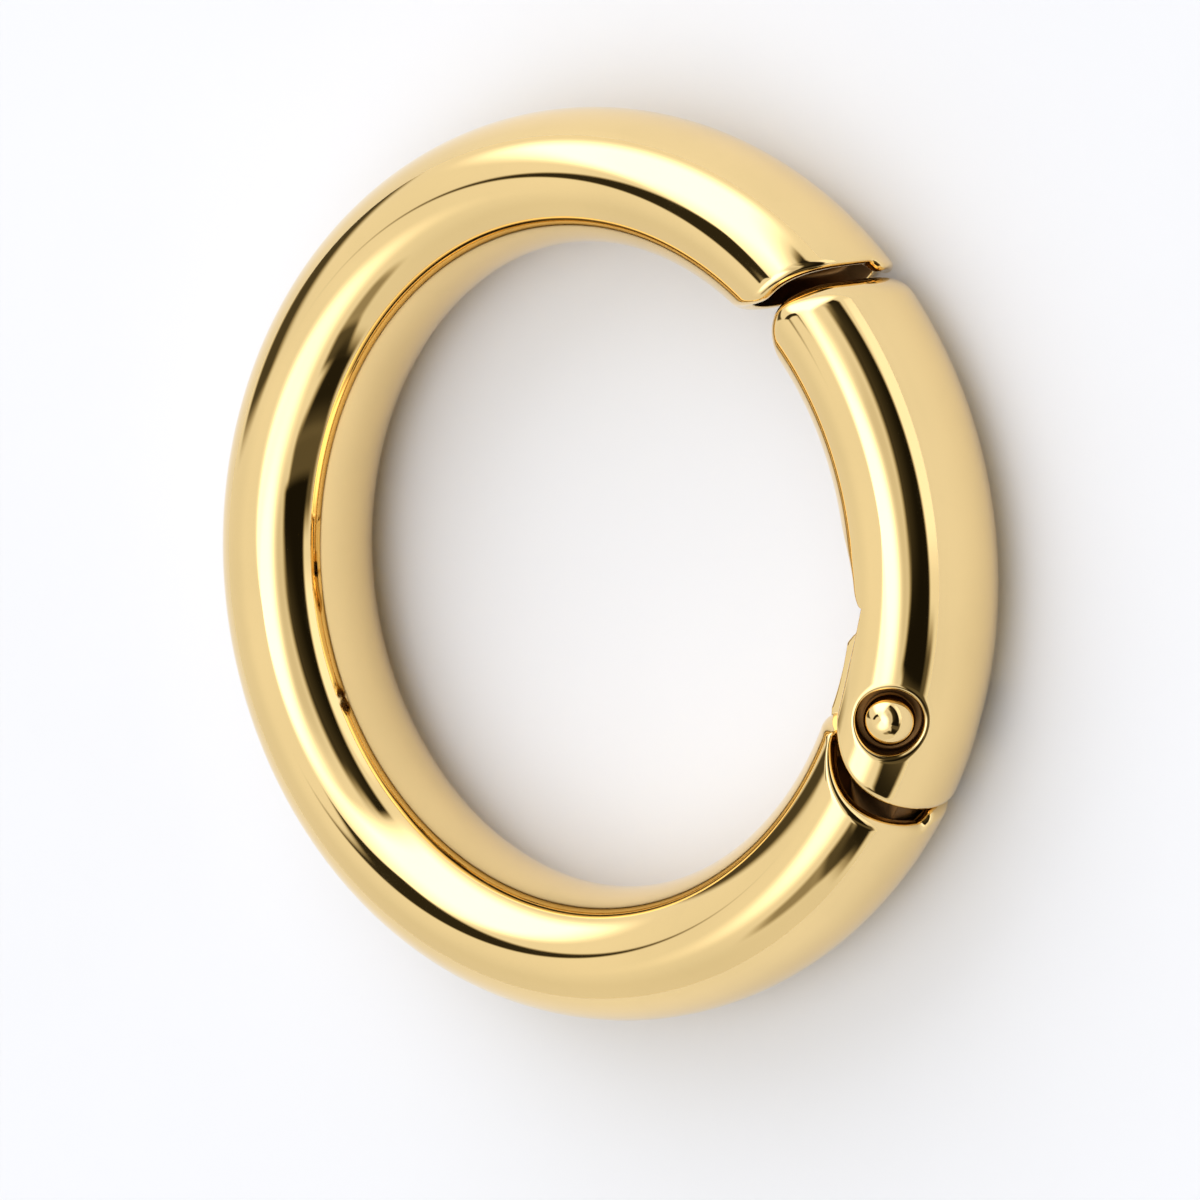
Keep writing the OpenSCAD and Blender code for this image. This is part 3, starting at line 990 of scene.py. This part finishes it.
# View fitted to the photo. The camera starts on the ring's axis with Y upwards, turns towards the gate and
# rises, and still looks at the ring's middle. The shift is to its right and upwards. Distance and shift are
# in radii of the tube's middle line.
CAMERA_TURN = math.radians(36.9397)
CAMERA_RISE = math.radians(5.5025)
CAMERA_AWAY = 40
CAMERA_SHIFT = (-0.0138, -0.09135)
CAMERA_CLIP = (0.05, 50)
FOCAL_PIXELS = 15627.08
PHOTO_SIDE = 1200
SENSOR = 36


def camera():
    """Camera at the photo's angle to the ring."""
    data = bpy.data.cameras.new("camera")
    data.sensor_width = SENSOR
    data.lens = FOCAL_PIXELS * SENSOR / PHOTO_SIDE
    data.clip_start, data.clip_end = CAMERA_CLIP
    made = bpy.data.objects.new("camera", data)
    bpy.context.scene.collection.objects.link(made)
    turned = Matrix.Rotation(CAMERA_TURN, 4, "Y") @ Matrix.Rotation(-CAMERA_RISE, 4, "X")
    away = Matrix.Translation(Vector((*CAMERA_SHIFT, CAMERA_AWAY)) * MID_R)
    made.matrix_world = Matrix.Translation((0, 0, HALF_H)) @ turned @ away
    bpy.context.scene.camera = made


FLOOR_REACH = 3.0
FLOOR_TONES = ((0.77, 0.77, 0.765, 1), (0.8, 0.8, 0.8, 1))


def floor():
    """Plain pale floor."""
    mesh = bpy.data.meshes.new("floor")
    corners = [(x * FLOOR_REACH, y * FLOOR_REACH, 0) for x, y in ((-1, -1), (1, -1), (1, 1), (-1, 1))]
    mesh.from_pydata(corners, [], [(0, 1, 2, 3)])
    material = bpy.data.materials.new("pale_floor")
    material.use_nodes = True
    tree = material.node_tree
    shader = tree.nodes["Principled BSDF"]
    shader.inputs["Specular IOR Level"].default_value = 0.2
    vector = joined(tree, object_point(tree))
    ramp = tree.nodes.new("ShaderNodeValToRGB")
    for element, tone in zip(ramp.color_ramp.elements, FLOOR_TONES):
        element.color = tone
    tree.links.new(noise(tree, vector, 0.05, 4.0, 0.6).socket, ramp.inputs[0])
    tree.links.new(ramp.outputs[0], shader.inputs["Base Color"])
    tree.links.new((noise(tree, vector, 1.5, 3.0) * 0.15 + 0.7).socket, shader.inputs["Roughness"])
    mesh.materials.append(material)
    made = bpy.data.objects.new("floor", mesh)
    bpy.context.scene.collection.objects.link(made)


# Lit boxes and dark screens round the ring, each laid over those before it. A row holds its name, the
# bearings it runs from and to, its lower edge at both, its upper edge at both, the softness of its lower
# edge, upper edge and ends, and its light. Angles are degrees. A bearing is 0 on the gate's side.
SKY_LIGHT = 1.0
SCREENS = (
    ("dim back", -177, -55, -20, -44, 44, 28, 26, 16, 27, 0.86),
    ("overhead box", -120, 107, 53, 64, 107, 106, 14, 9, 29, 2.6),
    ("overhead left", -113, -55, 53, 53, 98, 90, 10, 5, 23, 2.2),
    ("tall box", 81, 140, 8, 13, 64, 57, 8, 16, 9, 2.6),
    ("dim middle", -34, 57, 44, 42, 56, 62, 6, 8, 20, 0.78),
    ("low box", 3, 60, -21, -21, 20, 9, 7, 2, 7, 1.35),
    ("side screen's sheen", -94, -72, 28, 22, 36, 37, 3, 3, 6, 0.35),
    ("side screen", -74, -60, 22, 12, 37, 36, 3, 3, 3, 0.1),
    ("long screen's left end", -66, -37, 6, 5, 26, 39, 2.5, 5, 6, 0.02),
    ("long screen's sheen", -43, -13, 4, 5, 39, 42, 3, 3, 7, 0.12),
    ("long screen", -26.5, 74, 11.3, 16, 44.8, 27, 2, 3.5, 2.5, 0.011),
    ("long screen's soft top", -3, 68, 33, 19, 43, 36, 9, 4, 14, 0.05),
    ("high screen", 131, 181, 60.5, 48.5, 72, 60.6, 1.5, 1.5, 3, 0.03),
    ("low screen", 150, 179, -15, 11, 0, 37, 4, 5, 2.5, 0.08),
)
SCREEN_INPUTS = (
    "Light before", "Bearing", "Height", "Middle", "End outer", "End inner", "Low slope", "Low outer",
    "Low inner", "High slope", "High outer", "High inner", "Light",
)

# Tint of the light by its strength, as a share of the strongest: warm in the dark, white, then cool
STRONGEST_LIGHT = 3.0
WARM_TINT = (1, 0.84, 0.5, 1)
COOL_TINT = (0.97, 1, 1.12, 1)
WHITE_FROM_TO = (0.3, 0.37)


def screen_values(start, end, low_start, low_end, high_start, high_end, low_soft, high_soft, end_soft,
                  light):
    """A row of the screens as the values of the screen group."""
    half, low, high = (end - start) / 2, (low_start + low_end) / 2, (high_start + high_end) / 2
    return {
        "Middle": start + half, "End outer": half + end_soft, "End inner": half - end_soft,
        "Low slope": (low_start - low_end) / (end - start), "Low outer": low - low_soft,
        "Low inner": low + low_soft, "High slope": (high_start - high_end) / (end - start),
        "High outer": high + high_soft, "High inner": high - high_soft, "Light": light,
    }


def screen_group():
    """Shader group that lays one box or screen over the light from a direction."""
    tree = bpy.data.node_groups.new("screen", "ShaderNodeTree")
    add_inputs(tree, SCREEN_INPUTS)
    tree.interface.new_socket("Light", in_out="OUTPUT", socket_type="NodeSocketFloat")
    group = tree.nodes.new("NodeGroupInput")
    out = tree.nodes.new("NodeGroupOutput")
    given = {name: Term(tree, group.outputs[name]) for name in SCREEN_INPUTS}
    away = (given["Bearing"] - given["Middle"]).use("WRAP", 180.0, -180.0)
    share = away.use("ABSOLUTE").ease(given["End outer"], given["End inner"])
    for edge in ("Low", "High"):
        height = away.use("MULTIPLY_ADD", given[edge + " slope"], given["Height"])
        share = share * height.ease(given[edge + " outer"], given[edge + " inner"])
    before = given["Light before"]
    light = (given["Light"] - before).use("MULTIPLY_ADD", share, before)
    tree.links.new(light.socket, out.inputs[0])
    return tree


def studio():
    """Soft studio light with lit boxes and dark screens, as a world that changes with direction."""
    world = bpy.data.worlds.new("studio")
    bpy.context.scene.world = world
    world.use_nodes = True
    tree = world.node_tree
    where = tree.nodes.new("ShaderNodeTexCoord")
    split = tree.nodes.new("ShaderNodeSeparateXYZ")
    tree.links.new(where.outputs["Generated"], split.inputs[0])
    x, y, z = (Term(tree, split.outputs[k]) for k in range(3))
    height = z.use("ARCSINE") * (180 / math.pi)
    bearing = y.use("ARCTAN2", x) * (180 / math.pi)
    group = screen_group()
    light = None
    for _, *places in SCREENS:
        screen = tree.nodes.new("ShaderNodeGroup")
        screen.node_tree = group
        tree.links.new(bearing.socket, screen.inputs["Bearing"])
        tree.links.new(height.socket, screen.inputs["Height"])
        if light:
            tree.links.new(light.socket, screen.inputs["Light before"])
        else:
            screen.inputs["Light before"].default_value = SKY_LIGHT
        for name, value in screen_values(*places).items():
            screen.inputs[name].default_value = value
        light = Term(tree, screen.outputs[0])
    colour = tree.nodes.new("ShaderNodeValToRGB")
    ramp = colour.color_ramp
    ramp.elements[0].color = WARM_TINT
    ramp.elements[1].color = COOL_TINT
    for place in WHITE_FROM_TO:
        ramp.elements.new(place).color = (1, 1, 1, 1)
    tree.links.new((light / STRONGEST_LIGHT).socket, colour.inputs[0])
    background = tree.nodes["Background"]
    tree.links.new(colour.outputs[0], background.inputs["Color"])
    tree.links.new(light.socket, background.inputs["Strength"])
    bpy.context.scene.view_settings.view_transform = "Standard"


def build():
    """Makes every piece and puts it on its body."""
    gold, inside, wire = metals()
    tree = oval_tube_tree()
    body = ring_body(tree, gold, inside)
    leaf = gate(tree, gold, inside)
    pin = hinge_pin(gold)
    spring = torsion_spring(wire)
    for piece, node, rides, slot in (
            (body, "ring_body", "ring", "gold"),
            (leaf, "gate", "gate", "gold"),
            (pin, "hinge_pin", "gate", "gold"),
            (spring, "torsion_spring", "gate", "spring_steel")):
        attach(piece, rides)
        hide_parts(node)


build()
camera()
floor()
studio()
